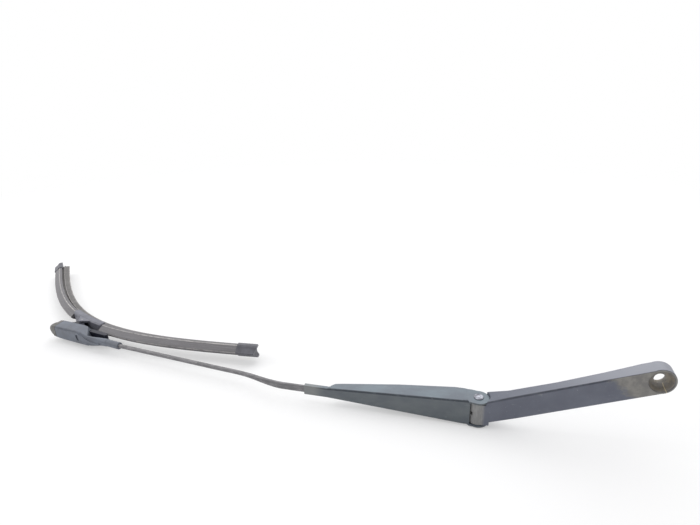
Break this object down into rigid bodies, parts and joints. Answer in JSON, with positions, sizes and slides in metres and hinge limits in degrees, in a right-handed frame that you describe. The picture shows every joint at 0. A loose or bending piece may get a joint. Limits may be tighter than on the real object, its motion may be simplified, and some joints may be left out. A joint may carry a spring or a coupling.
{
  "type": "wiper arm",
  "caption": "Windscreen wiper arm with an offset mounting head, sprung folding hinge, cranked rod, clip-on end fitting and bowed flat blade",
  "frame": {"origin": "centre of the spindle bore in the mounting head", "axes": "the bore runs along Y with its nut side facing -Y, away from the glass; the arm lies on its side and reaches away along -X from the head, with Z across its width and up"},
  "size_m": [0.737, 0.243, 0.0699],
  "materials": {
    "head_paint": "worn satin paint on a casting",
    "channel_paint": "worn satin paint on sheet steel",
    "fitting_paint": "chalky blue-grey paint",
    "rod_steel": "thin weathered paint",
    "spring_steel": "dull",
    "pin_steel": "dull",
    "bush_brass": "dull",
    "adapter_plastic": "matt",
    "button_plastic": "matt",
    "connector_grey": "matt",
    "spoiler_rubber": "weathered matt",
    "wiping_rubber": "matt",
    "cap_plastic": "matt"
  },
  "bodies": {
    "head": {"arm_head": "head_paint", "hinge_bush_upper": "bush_brass", "hinge_bush_lower": "bush_brass", "spring_pin": "pin_steel"},
    "arm": {"retainer": "channel_paint", "hinge_rivet": "pin_steel", "rod": "rod_steel", "end_fitting": "fitting_paint", "adapter": "adapter_plastic"},
    "link": {"spring_link": "spring_steel"},
    "spring": {"tension_spring": "spring_steel"},
    "button": {"release_button": "button_plastic"},
    "blade": {"blade_connector": "connector_grey", "blade_pivot_pin": "pin_steel", "rail_upper": "spring_steel", "rail_lower": "spring_steel", "spoiler_tip_side": "spoiler_rubber", "spoiler_arm_side": "spoiler_rubber", "squeegee": "wiping_rubber", "end_cap_tip": "cap_plastic", "end_cap_arm": "cap_plastic"}
  },
  "joints": [
    {"name": "arm_fold", "type": "hinge", "parent": "head", "child": "arm", "pos_m": [-0.128, 0, -0.0462], "axis": [0, 0, 1], "range_deg": [0, 65], "deforming": ["tension_spring"]},
    {"name": "link_swing", "type": "hinge", "parent": "head", "child": "link", "pos_m": [-0.1232, 0.004, -0.0462], "axis": [0, 0, 1], "range_deg": [0, 61.5]},
    {"name": "spring_swing", "type": "hinge", "parent": "arm", "child": "spring", "pos_m": [-0.21294, 0.00345, -0.0462], "axis": [0, 0, 1], "range_deg": [-4.6, 0]},
    {"name": "button_press", "type": "slide", "parent": "arm", "child": "button", "axis": [0.2164, 0.9763, 0], "range_m": [0, 0.0015], "stiffness_N_per_m": 800},
    {"name": "blade_pivot", "type": "hinge", "parent": "arm", "child": "blade", "pos_m": [-0.56301, 0.07616, -0.0462], "axis": [0, 0, 1], "range_deg": [-3, 20]}
  ],
  "couplings": [
    {"joint": "link_swing", "follows": "arm_fold", "ratio": 0.9352},
    {"joint": "spring_swing", "follows": "arm_fold", "ratio": -0.0648}
  ]
}
